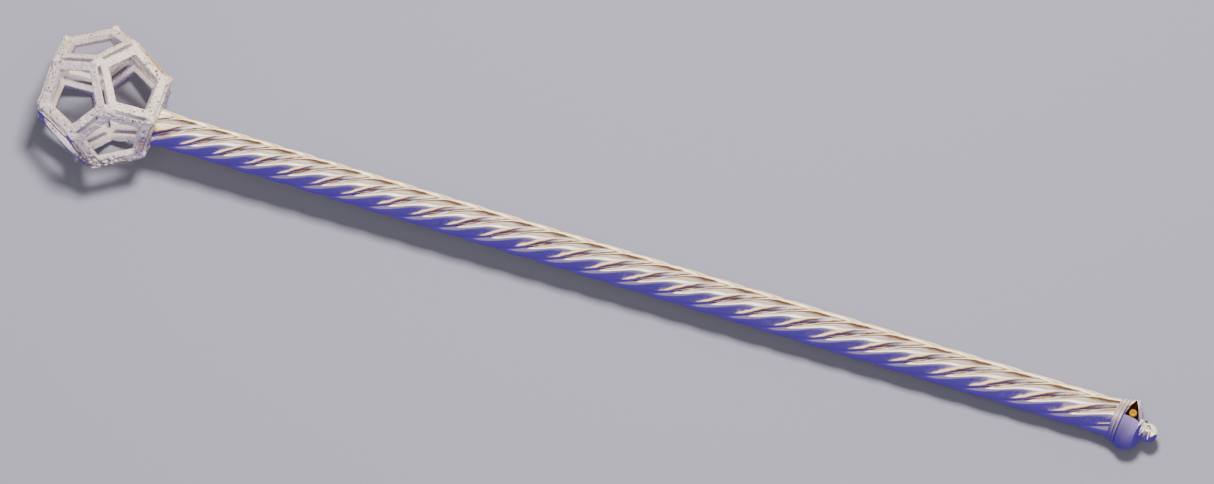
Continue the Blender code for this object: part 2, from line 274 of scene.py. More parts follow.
# What the metal mirrors, in bands of colour. LOW, HIGH and BACK_BANDS go by the mirrored direction's
# clock angle about X, half a turn to either side of SURROUND_START. How far the direction leans along
# X, which is below 0 towards the head, shears the low and the back bands. The foot's bands go by that
# lean itself, and show where the direction leans towards the foot.
SURROUND_START = 40.0
HEAD_SHEAR = -100.0
FOOT_SHEAR = 110.0
FOOT_SHEAR_FROM = -0.05
BLUE = (0.092, 0.046, 0.385)
MAUVE = (0.44, 0.34, 0.55)
CREAM = (1.5, 1.3, 1.1)
LOW_BANDS = (
    (-140, CREAM), (-109, CREAM), (-98, (0.07, 0.04, 0.30)), (-60, BLUE), (68, (0.11, 0.07, 0.45)),
    (95, MAUVE), (150, MAUVE),
)
HIGH_BANDS = (
    (90, (1.0, 0.85, 1.15)), (104, (5.2, 4.9, 4.5)), (114, (3.4, 2.6, 1.6)), (126, (1.1, 0.90, 0.82)),
    (150, (0.85, 0.60, 0.48)), (175, (0.60, 0.40, 0.31)), (205, (0.9, 0.70, 0.60)),
)
BACK_BANDS = (
    (130, (3.0, 2.8, 2.6)), (150, (1.1, 0.82, 0.68)), (166, (0.36, 0.20, 0.12)),
    (178, (0.13, 0.06, 0.03)), (186, (1.3, 0.75, 0.28)), (193, (4.4, 3.3, 1.7)),
    (204, (4.2, 3.4, 2.2)), (211, (1.5, 0.95, 0.45)), (219, (2.4, 1.9, 1.4)),
)
FOOT_LOW_BANDS = (
    (0.04, BLUE), (0.09, (0.55, 0.40, 0.55)), (0.13, (3.4, 2.4, 1.1)), (0.21, (2.6, 1.6, 0.65)),
    (0.27, (0.30, 0.15, 0.09)), (0.34, (0.07, 0.045, 0.16)), (0.60, BLUE),
)
FOOT_HIGH_BANDS = (
    (0.04, (0.3, 0.22, 0.5)), (0.10, (1.2, 1.0, 0.95)), (0.18, (3.6, 2.6, 1.25)),
    (0.27, (1.7, 1.05, 0.45)), (0.34, (0.26, 0.13, 0.07)), (0.42, (0.20, 0.11, 0.08)),
    (0.52, (0.75, 0.62, 0.68)), (0.64, (3.0, 2.7, 2.8)),
)

# Where one set of bands gives way to the next, by clock angle, and the foot's also by lean.
LOW_TO_HIGH = (90, 110)
FRONT_TO_BACK = (130, 150)
FOOT_LOW_TO_HIGH = (20, 70)
FOOT_LEANS_FROM = (0.04, 0.10)
FOOT_STARTS = (-15, 15)
FOOT_ENDS = (125, 95)

GOLDEN = (1 + math.sqrt(5)) / 2
FIFTH = 2 * math.pi / 5
ON_AXIS = 1e-6
CUTTER_REACH = 0.004
NOISE_STEP = (7.31, 3.17, 5.53)


# ---------------------------------------------------------------- places

def at_clock(x, radius, clock):
    """The point at a distance from the X axis, with its clock angle in radians."""
    return Vector((x, -radius * math.cos(clock), radius * math.sin(clock)))


def lean_towards(degrees, aside):
    """The turn that tips the X axis towards a direction square to it."""
    return Matrix.Rotation(math.radians(degrees), 4, Vector((1, 0, 0)).cross(aside))


def head_frame():
    aside = at_clock(0, 1, math.radians(OFFSET_CLOCK))
    lean = lean_towards(HEAD_LEAN, -aside)
    centre = aside * MOUNT_OFFSET - lean @ Vector((face_distance(), 0, 0))
    return Matrix.Translation(centre) @ lean


def foot_frame():
    lean = lean_towards(FOOT_LEAN, at_clock(0, 1, math.radians(FOOT_LEAN_CLOCK)))
    return Matrix.Translation((SHAFT_LENGTH, 0, 0)) @ lean


def plane_crossing(plane, x_in_plane, y, z):
    """The x at which a line along X meets the plane x = x_in_plane of a frame."""
    normal = plane.to_3x3() @ Vector((1, 0, 0))
    point = plane @ Vector((x_in_plane, 0, 0))
    return point.x - (normal.y * (y - point.y) + normal.z * (z - point.z)) / normal.x


def knob_underside(up):
    foot = foot_frame()
    axis = foot.to_3x3() @ Vector((1, 0, 0))
    sideways = (up - axis * up.dot(axis)).normalized()
    centre = foot @ Vector((KNOB_CENTRE, 0, 0))
    return centre - sideways * (KNOB_RADIUS - KNOB_TUBE_RADIUS) - up * KNOB_TUBE_RADIUS


def lying():
    """Lays the sceptre on its lowest head edge and its knob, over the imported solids."""
    seam_rise = LYING_SEAM * math.cos(math.atan(GOLDEN))
    corners = [head_frame() @ corner for corner in dodecahedron_corners()]
    lowest = sorted(corners, key=lambda corner: corner.z)[:2]
    up = Vector((0, 0, 1))
    for _ in range(SETTLING_STEPS):
        head_points = [corner + up * (seam_rise + HEAD_FLAT_DEPTH) for corner in lowest]
        knob_point = knob_underside(up) + up * KNOB_FLAT_DEPTH
        normal = (head_points[1] - head_points[0]).cross(knob_point - head_points[0]).normalized()
        up = normal if normal.z > 0 else -normal
    forward = (Vector((1, 0, 0)) - up * up.x).normalized()
    turn = Matrix((forward, up.cross(forward), up)).to_4x4()
    low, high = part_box("foot_gilt_rosette")
    rosette = foot_frame() @ recess_point(*ROSETTE_PLACE, RECESS_FLOOR + GAP + ROSETTE_THICKNESS / 2)
    return Matrix.Translation((Vector(low) + Vector(high)) / 2 - turn @ rosette) @ turn


# ---------------------------------------------------------------- making pieces

def piece_from_mesh(name, mesh, place, material):
    mesh.transform(place)
    piece = bpy.data.objects.new(name, mesh)
    bpy.context.collection.objects.link(piece)
    mesh.materials.clear()
    mesh.materials.append(material)
    return piece


def mesh_from(name, shape):
    bmesh.ops.recalc_face_normals(shape, faces=shape.faces)
    mesh = bpy.data.meshes.new(name)
    shape.to_mesh(mesh)
    shape.free()
    return mesh


def prism(shape, outline, direction):
    """A closed prism on a flat outline."""
    near = [shape.verts.new(point) for point in outline]
    far = [shape.verts.new(point + direction) for point in outline]
    shape.faces.new(near)
    shape.faces.new(far)
    count = len(outline)
    for index in range(count):
        following = (index + 1) % count
        shape.faces.new([near[index], near[following], far[following], far[index]])


def modified(piece):
    """The piece's mesh with its modifiers worked in."""
    bpy.context.view_layer.update()
    dependencies = bpy.context.evaluated_depsgraph_get()
    return bpy.data.meshes.new_from_object(piece.evaluated_get(dependencies))


def carve(mesh, cutters):
    """Cuts bodies out of a mesh, in the mesh's own frame."""
    body = bpy.data.objects.new("carving", mesh)
    bpy.context.collection.objects.link(body)
    helpers = [body]
    for index, shape in enumerate(cutters):
        cutter = bpy.data.objects.new(f"cutter_{index}", mesh_from(f"cutter_{index}", shape))
        bpy.context.collection.objects.link(cutter)
        helpers.append(cutter)
        modifier = body.modifiers.new(f"cut_{index}", "BOOLEAN")
        modifier.operation = "DIFFERENCE"
        modifier.solver = "EXACT"
        modifier.object = cutter
    carved = modified(body)
    for helper in helpers:
        bpy.data.objects.remove(helper, do_unlink=True)
    return carved


def coordinates(mesh):
    points = np.empty(len(mesh.vertices) * 3)
    mesh.vertices.foreach_get("co", points)
    return points.reshape(-1, 3)


def point_normals(mesh):
    normals = np.empty(len(mesh.vertices) * 3)
    mesh.vertices.foreach_get("normal", normals)
    return normals.reshape(-1, 3)


def set_coordinates(mesh, points):
    mesh.vertices.foreach_set("co", np.ascontiguousarray(points, dtype=np.float32).ravel())
    mesh.update()


def point_attribute(mesh, name, values):
    attribute = mesh.attributes.new(name, "FLOAT", "POINT")
    attribute.data.foreach_set("value", np.asarray(values, dtype=np.float32))


def keep_above_floor(mesh, place):
    """Presses what would sink into the floor flat onto it."""
    matrix = np.array(place)
    points = coordinates(mesh)
    world = points @ matrix[:3, :3].T + matrix[:3, 3]
    sunk = np.maximum(FLOOR_CLEARANCE - world[:, 2], 0)
    set_coordinates(mesh, points + sunk[:, None] * matrix[2, :3])


# ---------------------------------------------------------------- head

def edge_length():
    return HEAD_RADIUS * 4 / (math.sqrt(3) * (1 + math.sqrt(5)))


def face_ring():
    return edge_length() / (2 * math.sin(FIFTH / 2))


def face_distance():
    return math.sqrt(HEAD_RADIUS ** 2 - face_ring() ** 2)


def dodecahedron_corners():
    waist_ring = GOLDEN * face_ring()
    waist_distance = math.sqrt(HEAD_RADIUS ** 2 - waist_ring ** 2)
    turn = math.radians(HEAD_CLOCK)
    corners = []
    for step in range(5):
        front = turn + FIFTH * step
        back = front + FIFTH / 2
        corners.append(at_clock(face_distance(), face_ring(), front))
        corners.append(at_clock(waist_distance, waist_ring, front))
        corners.append(at_clock(-waist_distance, waist_ring, back))
        corners.append(at_clock(-face_distance(), face_ring(), back))
    return corners


def dodecahedron(scale=1.0):
    shape = bmesh.new()
    for corner in dodecahedron_corners():
        shape.verts.new(corner * scale)
    bmesh.ops.convex_hull(shape, input=shape.verts)
    bmesh.ops.dissolve_limit(shape, angle_limit=math.radians(COPLANAR_ANGLE),
                             verts=shape.verts, edges=shape.edges)
    return shape


def window_cutters():
    solid = dodecahedron()
    cutters = bmesh.new()
    for face in solid.faces:
        normal = face.normal.normalized()
        if normal.x > MOUNTING_FACE_TEST:
            continue
        centre = face.calc_center_median()
        outline = [centre + (corner.co - centre) * WINDOW_SHARE for corner in face.verts]
        start = normal * (PLATE_THICKNESS + CUTTER_REACH)
        depth = normal * (PLATE_THICKNESS + 2 * CUTTER_REACH)
        prism(cutters, [point - start for point in outline], depth)
    solid.free()
    return cutters


def slit_cutters():
    solid = dodecahedron()
    slit_depth = PLATE_THICKNESS / math.sin(math.atan(GOLDEN))
    cutters = bmesh.new()
    for edge in solid.edges:
        ends = [end.co for end in edge.verts]
        middle = (ends[0] + ends[1]) / 2
        outward = middle.normalized()
        along = (ends[1] - ends[0]) / 2 * SLIT_SHARE
        across = outward.cross(along).normalized() * SLIT_WIDTH / 2
        inner = middle - outward * (slit_depth + CUTTER_REACH)
        outline = [inner + along + across, inner - along + across,
                   inner - along - across, inner + along - across]
        prism(cutters, outline, outward * (slit_depth + 2 * CUTTER_REACH))
    solid.free()
    return cutters


def head_faces():
    """Outward normals of the twelve faces, as rows."""
    solid = dodecahedron()
    normals = np.array([list(face.normal.normalized()) for face in solid.faces])
    solid.free()
    return normals


def noise_at(points, scale, seed, kind):
    """One value of a noise for each point, with cells about scale metres across."""
    shift = Vector([seed * step for step in NOISE_STEP])
    values = np.empty(len(points))
    for index, point in enumerate(points):
        spot = Vector(point) / scale + shift
        if kind == "cell":
            near = noise.voronoi(spot)[0]
            values[index] = near[1] - near[0]
        elif kind == "dot":
            values[index] = noise.voronoi(spot)[0][0]
        else:
            values[index] = noise.noise(spot)
    return values


def smooth_step(low, high, values):
    share = np.clip((values - low) / (high - low), 0, 1)
    return share * share * (3 - 2 * share)


def head_blank():
    """The head's frames as an even net of small faces."""
    shape = dodecahedron()
    corners = list(shape.verts)
    bmesh.ops.inset_individual(shape, faces=shape.faces, thickness=SEAM_HALF_WIDTH)
    for corner in corners:
        corner.co -= corner.co.normalized() * SEAM_DEPTH
    cavity = dodecahedron(1 - PLATE_THICKNESS / face_distance())
    plain = carve(mesh_from("head_plain", shape), [cavity, window_cutters(), slit_cutters()])
    body = bpy.data.objects.new("head_blank", plain)
    bpy.context.collection.objects.link(body)
    remesh = body.modifiers.new("remesh", "REMESH")
    remesh.mode = "VOXEL"
    remesh.voxel_size = HEAD_VOXEL
    mesh = modified(body)
    bpy.data.objects.remove(body, do_unlink=True)
    mesh.name = "head_relief"
    return mesh


def build_head(place, material):
    """The frames with a cast, granulated relief, and the fields that their colours follow."""
    mesh = head_blank()
    points = coordinates(mesh)
    normals = point_normals(mesh)
    corners = np.array(dodecahedron_corners())
    outwards = points / np.linalg.norm(points, axis=1)[:, None]
    depth = face_distance() - (points @ head_faces().T).max(axis=1)
    outer = 1 - smooth_step(*OUTER_REACH, depth)
    low_rim = smooth_step(*LOW_RIM_REACH, outwards @ np.array(LOW_RIM))

    patches = smooth_step(*PATCH_REACH, noise_at(points, PATCH_CELL, seed=1, kind="plain"))
    rough = outer * (LEAST_ROUGH + (1 - LEAST_ROUGH) * np.maximum(patches, low_rim))
    swell = noise_at(points, SWELL_CELL, seed=2, kind="plain")
    cells = noise_at(points, NUGGET_CELL, seed=3, kind="cell")
    nugget = smooth_step(*NUGGET_FLANK, cells) - NUGGET_SINK
    grain = noise_at(points, GRAIN_CELL, seed=4, kind="plain")
    pit = 1 - smooth_step(*PIT_FLANK, noise_at(points, PIT_CELL, seed=5, kind="dot"))
    lift = rough * (SWELL_HEIGHT * swell + (NUGGET_HEIGHT + RIM_NUGGET_HEIGHT * low_rim) * nugget
                    + GRAIN_HEIGHT * grain - PIT_DEPTH * pit)
    lift += (1 - outer) * INNER_GRAIN_HEIGHT * grain
    for index, corner in enumerate(corners):
        near = np.exp(-(np.linalg.norm(points - corner, axis=1) / DROP_WIDTH) ** 2)
        lift += near * (DROP_HEIGHT if index in DROP_CORNERS else DROP_HEIGHT * LOW_DROP_SHARE)
    set_coordinates(mesh, points + normals * lift[:, None])
    keep_above_floor(mesh, place)

    turned_back = place.to_3x3().transposed()
    gold_reflection_side, lit_side, bright_side = (np.array(turned_back @ Vector(side))
                                         for side in (GOLD_REFLECTION_SIDE, LIT_SIDE, BRIGHT_SIDE))
    gaps = low_rim * outer * (1 - smooth_step(*RIM_GAP_REACH, cells))
    lit = smooth_step(*LIT_REACH, outwards @ lit_side)
    bright = smooth_step(*BRIGHT_FACING_REACH, normals @ bright_side)
    bright *= smooth_step(*BRIGHT_REACH, outwards @ bright_side)
    spot = sum(corners[index] * share for index, share in GILT_SPOT)
    from_spot = np.linalg.norm(points - spot, axis=1)
    rubbed = 1 - smooth_step(*RUBBED_FADE, from_spot)
    point_attribute(mesh, "hollow", np.maximum(gaps, PIT_HOLLOW_SHARE * pit * rough))
    # A painted gold reflection on the rim's side facing the warm bands.
    point_attribute(mesh, "gold_reflection", outer * smooth_step(*GOLD_REFLECTION_REACH, outwards @ gold_reflection_side))
    point_attribute(mesh, "gilt", 1 - smooth_step(*GILT_FADE, from_spot))
    # Fewer dark pits on the side facing the key lamp: painted light.
    point_attribute(mesh, "pitted", outer * (1 - LIT_SHARE * lit))
    point_attribute(mesh, "bright", outer * np.maximum(bright, rubbed))
    mesh.shade_smooth()
    return piece_from_mesh("head_openwork", mesh, place, material)


# ---------------------------------------------------------------- shaft

def lobe_reach(share):
    """Distance from the axis as a share of the outer radius, from a lobe's crown, 0, to the groove, 1."""
    fallen = max(0.0, 1 - math.hypot(1 - share, GROOVE_ROUND))
    return 1 - GROOVE_SHARE * fallen ** LOBE_POWER


def outer_radius(share):
    plain = SHAFT_RADIUS_AT_HEAD + (SHAFT_RADIUS_AT_FOOT - SHAFT_RADIUS_AT_HEAD) * share
    head_flare = HEAD_FLARE_SHARE * math.exp(-share * SHAFT_LENGTH / FLARE_REACH)
    foot_flare = FOOT_FLARE_SHARE * math.exp((share - 1) * SHAFT_LENGTH / FLARE_REACH)
    return plain * (1 + head_flare + foot_flare)


def twist_clock(x):
    growth = (LOBE_SPACING_AT_FOOT - LOBE_SPACING_AT_HEAD) / SHAFT_LENGTH

    def lobes_passed(place):
        return math.log(1 + growth * place / LOBE_SPACING_AT_HEAD) / growth

    return math.radians(GROOVE_CLOCK) + FIFTH * (lobes_passed(x) - lobes_passed(GROOVE_PLACE))


def lobe_points():
    """One lobe's outline from groove to groove: angles from its crown, with their reaches."""
    half = FIFTH / 2
    steps = POINTS_PER_LOBE // 2
    shares = [1 - (1 - step / steps) ** POINT_CROWDING for step in range(steps + 1)]
    lobe = [(-half * share, lobe_reach(share)) for share in reversed(shares)]
    return lobe + [(half * share, lobe_reach(share)) for share in shares[1:-1]]


def groove_shade_share(clock):
    """1 on the side of the shaft whose grooves get painted shade and 0 on the other, for a clock angle in
    radians.
    """
    aside = (math.degrees(clock) - GROOVE_SHADE_CLOCK + 180) % 360 - 180
    return 1 - smooth_step(*GROOVE_SHADE_REACH, abs(aside))


def build_shaft(place, material):
    lobe = lobe_points()
    count = LOBE_COUNT * len(lobe)
    head_plane, foot_plane = head_frame(), foot_frame()
    vertices, groove = [], []
    for step in range(SHAFT_RINGS + 1):
        share = step / SHAFT_RINGS
        radius = outer_radius(share)
        base = twist_clock(share * SHAFT_LENGTH) + FIFTH / 2
        for turn in range(LOBE_COUNT):
            for angle, reach in lobe:
                clock = base + FIFTH * turn + angle
                spot = at_clock(0, radius * reach, clock)
                start = plane_crossing(head_plane, face_distance() + GAP, spot.y, spot.z)
                end = plane_crossing(foot_plane, -GAP, spot.y, spot.z)
                vertices.append((start + (end - start) * share, spot.y, spot.z))
                # The groove's depth, on the side of the shaft that gets painted shade.
                groove.append(max(0.0, (1 - reach) / GROOVE_SHARE) * groove_shade_share(clock))
    faces = [list(range(count))[::-1], list(range(SHAFT_RINGS * count, (SHAFT_RINGS + 1) * count))]
    for step in range(SHAFT_RINGS):
        near, far = step * count, (step + 1) * count
        for index in range(count):
            following = (index + 1) % count
            faces.append([near + index, near + following, far + following, far + index])
    points = np.array(vertices)
    wave = sum(height * noise_at(points, length, seed, "plain") for height, length, seed in SHAFT_WAVES)
    points[:, 1:] *= (1 + wave / np.linalg.norm(points[:, 1:], axis=1))[:, None]
    mesh = bpy.data.meshes.new("shaft_twist")
    mesh.from_pydata(points.tolist(), [], faces)
    mesh.update()
    point_attribute(mesh, "groove", groove)
    shape = bmesh.new()
    shape.from_mesh(mesh)
    bmesh.ops.recalc_face_normals(shape, faces=shape.faces)
    shape.to_mesh(mesh)
    shape.free()
    mesh.shade_smooth()
    mesh.set_sharp_from_angle(angle=math.radians(SHAFT_SHARP_ANGLE))
    return piece_from_mesh("shaft_twisted", mesh, place, material)


# ---------------------------------------------------------------- foot

def arc_points(centre_x, centre_r, radius, start_deg, end_deg, steps):
    points = []
    for step in range(steps + 1):
        angle = math.radians(start_deg + (end_deg - start_deg) * step / steps)
        points.append((centre_x + radius * math.sin(angle), centre_r + radius * math.cos(angle)))
    return points


def band_points(start, length, start_radius, crown_radius, end_radius):
    points = []
    for step in range(BAND_STEPS + 1):
        share = step / BAND_STEPS
        chord = start_radius + (end_radius - start_radius) * share
        crown = crown_radius - (start_radius + end_radius) / 2
        rise = max(0.0, math.sin(math.pi * share)) ** BAND_FULLNESS
        points.append((start + length * share, chord + crown * rise))
    return points


def foot_profile():
    ring_radius = KNOB_RADIUS - KNOB_TUBE_RADIUS
    knob_start = sum(BAND_LENGTHS) + GAP
    knob_angle = math.degrees(math.asin((KNOB_CENTRE - knob_start) / KNOB_TUBE_RADIUS))
    first = band_points(0, BAND_LENGTHS[0], BAND_START_RADIUS, BAND_RADII[0], BAND_VALLEY_RADII[0])
    second = band_points(BAND_LENGTHS[0], BAND_LENGTHS[1], BAND_VALLEY_RADII[0], BAND_RADII[1],
                         BAND_VALLEY_RADII[1])
    knob = arc_points(KNOB_CENTRE, ring_radius, KNOB_TUBE_RADIUS, -knob_angle, KNOB_END_ANGLE, KNOB_STEPS)
    neck_angle = math.degrees(math.asin((BALL_CENTRE - KNOB_CENTRE - KNOB_TUBE_RADIUS) / BALL_RADIUS))
    ball = arc_points(BALL_CENTRE, 0, BALL_RADIUS, -neck_angle, 90, BALL_STEPS)
    return [(COLLAR_GAP_SHARE * GAP - GAP, BAND_START_RADIUS)] + first + second[1:] + knob + ball


def turned(profile):
    shape = bmesh.new()
    rings = []
    for x, radius in profile:
        if radius < ON_AXIS:
            rings.append([shape.verts.new((x, 0, 0))])
            continue
        rings.append([shape.verts.new(at_clock(x, radius, 2 * math.pi * index / FOOT_SEGMENTS))
                      for index in range(FOOT_SEGMENTS)])
    for near, far in zip(rings, rings[1:]):
        for index in range(FOOT_SEGMENTS):
            following = (index + 1) % FOOT_SEGMENTS
            if len(far) == 1:
                shape.faces.new([near[index], near[following], far[0]])
            else:
                shape.faces.new([near[index], near[following], far[following], far[index]])
    bmesh.ops.contextual_create(shape, geom=rings[0])
    return shape


def recess_point(along, tangential, height):
    clock = math.radians(RECESS_CLOCK)
    return at_clock(KNOB_CENTRE + along, height, clock) + at_clock(0, tangential, clock + math.pi / 2)


def recess_cutter():
    shape = bmesh.new()
    corners = [(RECESS_BASE[0], RECESS_BASE_HEIGHT), (RECESS_BASE[1], RECESS_BASE_HEIGHT), RECESS_TIP]
    outline = [recess_point(along, tangential, RECESS_FLOOR) for along, tangential in corners]
    prism(shape, outline, at_clock(0, KNOB_RADIUS, math.radians(RECESS_CLOCK)))
    for face in shape.faces:
        face.material_index = 1
    return shape


def shoulder_cutter():
    clock = math.radians(SHOULDER_CLOCK)
    tilt = math.radians(SHOULDER_TILT)
    outward = at_clock(0, 1, clock)
    across = at_clock(0, KNOB_RADIUS, clock + math.pi / 2)
    normal = Vector((math.cos(tilt), 0, 0)) + outward * math.sin(tilt)
    inward = Vector((math.sin(tilt), 0, 0)) - outward * math.cos(tilt)
    start = Vector((KNOB_CENTRE + SHOULDER_POINT[0], 0, 0)) + outward * SHOULDER_POINT[1]
    to_foot = inward * (SHOULDER_POINT[1] - SHOULDER_FOOT)
    to_rim = inward * -KNOB_RADIUS
    shape = bmesh.new()
    outline = [start + to_foot - across, start + to_foot + across,
               start + to_rim + across, start + to_rim - across]
    prism(shape, outline, normal * KNOB_RADIUS)
    return shape


def build_foot(place, material):
    plain = mesh_from("foot_turned", turned(foot_profile()))
    plain.materials.append(None)
    plain.materials.append(None)
    mesh = carve(plain, [recess_cutter(), shoulder_cutter()])
    body = bpy.data.objects.new("foot_blank", mesh)
    bpy.context.collection.objects.link(body)
    bevel = body.modifiers.new("bevel", "BEVEL")
    bevel.width = BEVEL_WIDTH
    bevel.segments = BEVEL_SEGMENTS
    bevel.limit_method = "ANGLE"
    bevel.angle_limit = math.radians(BEVEL_ANGLE)
    bevel.use_clamp_overlap = True
    finished = modified(body)
    bpy.data.objects.remove(body, do_unlink=True)
    keep_above_floor(finished, place)

    # The recess's faces are marked; the shader gives them painted shade.
    inside = np.empty(len(finished.polygons), dtype=np.int32)
    finished.polygons.foreach_get("material_index", inside)
    recess = finished.attributes.new("recess", "FLOAT", "FACE")
    recess.data.foreach_set("value", inside.astype(np.float32))
    finished.polygons.foreach_set("material_index", np.zeros(len(inside), dtype=np.int32))
    points = coordinates(finished)
    # The satin share also carries a painted blue reflection on the collar and the knob, less at the lip.
    along = points[:, 0]
    towards_lip = points @ np.array(at_clock(0, 1, math.radians(LIP_CLOCK)))
    lip = smooth_step(*LIP_REACH, towards_lip / KNOB_RADIUS)
    knob = (along < BALL_CENTRE - BALL_RADIUS) * (1 - LIP_SHARE * lip)
    point_attribute(finished, "satin_and_blue_reflection", np.where(along < sum(BAND_LENGTHS), BAND_SATIN_AND_REFLECTION, knob))
    finished.shade_smooth()
    finished.set_sharp_from_angle(angle=math.radians(FOOT_SHARP_ANGLE))
    return piece_from_mesh("foot_turning", finished, place, material)


def build_rosette(place, material):
    """A toothed disc with a dished middle, on the recess floor."""
    shape = bmesh.new()
    steps = ROSETTE_TEETH * POINTS_PER_TOOTH
    half_tooth = POINTS_PER_TOOTH / 2
    rings = []
    for reach, height in ROSETTE_RINGS:
        ring = []
        for step in range(steps):
            angle = 2 * math.pi * step / steps
            flank = smooth_step(*TOOTH_FLANK, abs((step % POINTS_PER_TOOTH) / half_tooth - 1))
            tooth = 1 - ROSETTE_TOOTH_SHARE * flank * (reach > TOOTHED_FROM)
            radius = ROSETTE_RADIUS * reach * tooth
            ring.append(shape.verts.new(recess_point(
                ROSETTE_PLACE[0] + radius * math.cos(angle), ROSETTE_PLACE[1] + radius * math.sin(angle),
                RECESS_FLOOR + GAP + ROSETTE_THICKNESS * height)))
        rings.append(ring)
    for near, far in zip(rings, rings[1:]):
        for index in range(steps):
            following = (index + 1) % steps
            shape.faces.new([near[index], near[following], far[following], far[index]])
    shape.faces.new(rings[0])
    shape.faces.new(rings[-1])
    mesh = mesh_from("rosette_toothed", shape)
    middle = np.array(recess_point(*ROSETTE_PLACE, RECESS_FLOOR))
    from_middle = np.linalg.norm(coordinates(mesh) - middle, axis=1)
    point_attribute(mesh, "hollow", from_middle < ROSETTE_RADIUS * ROSETTE_HOLLOW_SHARE)
    mesh.shade_smooth()
    mesh.set_sharp_from_angle(angle=math.radians(ROSETTE_SHARP_ANGLE))
    return piece_from_mesh("rosette_gilt", mesh, place, material)


# ---------------------------------------------------------------- materials

class Nodes:
    """A node tree, with short ways to add and link nodes."""

    def __init__(self, tree):
        self.tree = tree

    def give(self, socket, value):
        """Links a socket to another node's output, or sets it to a plain value."""
        if isinstance(value, bpy.types.NodeSocket):
            self.tree.links.new(value, socket)
        else:
            socket.default_value = value

    def add(self, kind, inputs=None, **settings):
        node = self.tree.nodes.new(kind)
        for key, value in settings.items():
            setattr(node, key, value)
        for key, value in (inputs or {}).items():
            self.give(node.inputs[key], value)
        return node

    def ramp(self, value, low, high, to_low=0.0, to_high=1.0):
        """A straight slope between two values, and level outside them."""
        return self.add("ShaderNodeMapRange", {"Value": value, "From Min": low, "From Max": high,
                                               "To Min": to_low, "To Max": to_high},
                        clamp=True).outputs["Result"]

    def mix(self, share, first, second):
        return self.add("ShaderNodeMix", {0: share, 6: first, 7: second}, data_type="RGBA").outputs[2]

    def math(self, operation, *values):
        return self.add("ShaderNodeMath", dict(enumerate(values)), operation=operation).outputs[0]


class MaterialNodes(Nodes):
    """A new material's nodes."""

    def __init__(self, name):
        self.material = bpy.data.materials.new(name)
        self.material.use_nodes = True
        super().__init__(self.material.node_tree)
        self.shader = self.tree.nodes["Principled BSDF"]

    def coords(self):
        return self.add("ShaderNodeTexCoord").outputs["Object"]

    def noise(self, vector, scale, detail, rough):
        return self.add("ShaderNodeTexNoise", {"Vector": vector, "Scale": scale, "Detail": detail,
                                               "Roughness": rough}).outputs["Fac"]

    def attribute(self, name):
        return self.add("ShaderNodeAttribute", attribute_name=name).outputs["Fac"]

    def bump(self, height, strength, distance):
        return self.add("ShaderNodeBump", {"Height": height, "Strength": strength,
                                           "Distance": distance}).outputs["Normal"]

    def set(self, **values):
        for key, value in values.items():
            self.give(self.shader.inputs[key.replace("_", " ")], value)


def polished_silver(name, hollow):
    """Bright silver with fine hairlines. Its grooves get painted shade on one side of the shaft.
    Around the foot's recess it is satin with a painted blue reflection, and the recess gets painted
    shade."""
    nodes = MaterialNodes(name)
    place = nodes.coords()
    blotch = nodes.noise(place, scale=38.0, detail=4.0, rough=0.55)
    fine = nodes.noise(place, scale=900.0, detail=2.0, rough=0.6)
    colour = nodes.mix(nodes.ramp(blotch, 0.35, 0.7), SILVER_BRIGHT, SILVER_GREYER)
    roughness = nodes.ramp(fine, 0.3, 0.7, to_low=0.07, to_high=0.14)
    if hollow == "recess":
        # The satin share adds roughness and a painted blue reflection; the recess adds roughness and
        # painted shade.
        for mark, rougher, tint in (("satin_and_blue_reflection", SATIN_ROUGHNESS, SATIN_BLUE_REFLECTION),
                                    ("recess", RECESS_ROUGHNESS, RECESS_PAINTED_SHADE)):
            share = nodes.attribute(mark)
            roughness = nodes.math("ADD", roughness, nodes.math("MULTIPLY", share, rougher))
            colour = nodes.mix(share, colour, tint)
    # Painted shade, brown and then near-black, in the grooves on one side of the shaft.
    if hollow == "groove":
        breakup = nodes.noise(place, scale=120.0, detail=3.0, rough=0.6)
        breakup = nodes.ramp(breakup, 0.3, 0.7, to_low=-0.12, to_high=0.12)
        reach = nodes.math("ADD", nodes.attribute("groove"), breakup)
        colour = nodes.mix(nodes.ramp(reach, 0.52, 0.86), colour, GROOVE_SHADE_BROWN)
        colour = nodes.mix(nodes.ramp(reach, 0.80, 0.95), colour, GROOVE_SHADE_BLACK)
    nodes.set(Base_Color=colour, Metallic=1.0, Roughness=roughness,
              Normal=nodes.bump(blotch, strength=0.10, distance=0.0006))
    return nodes.material


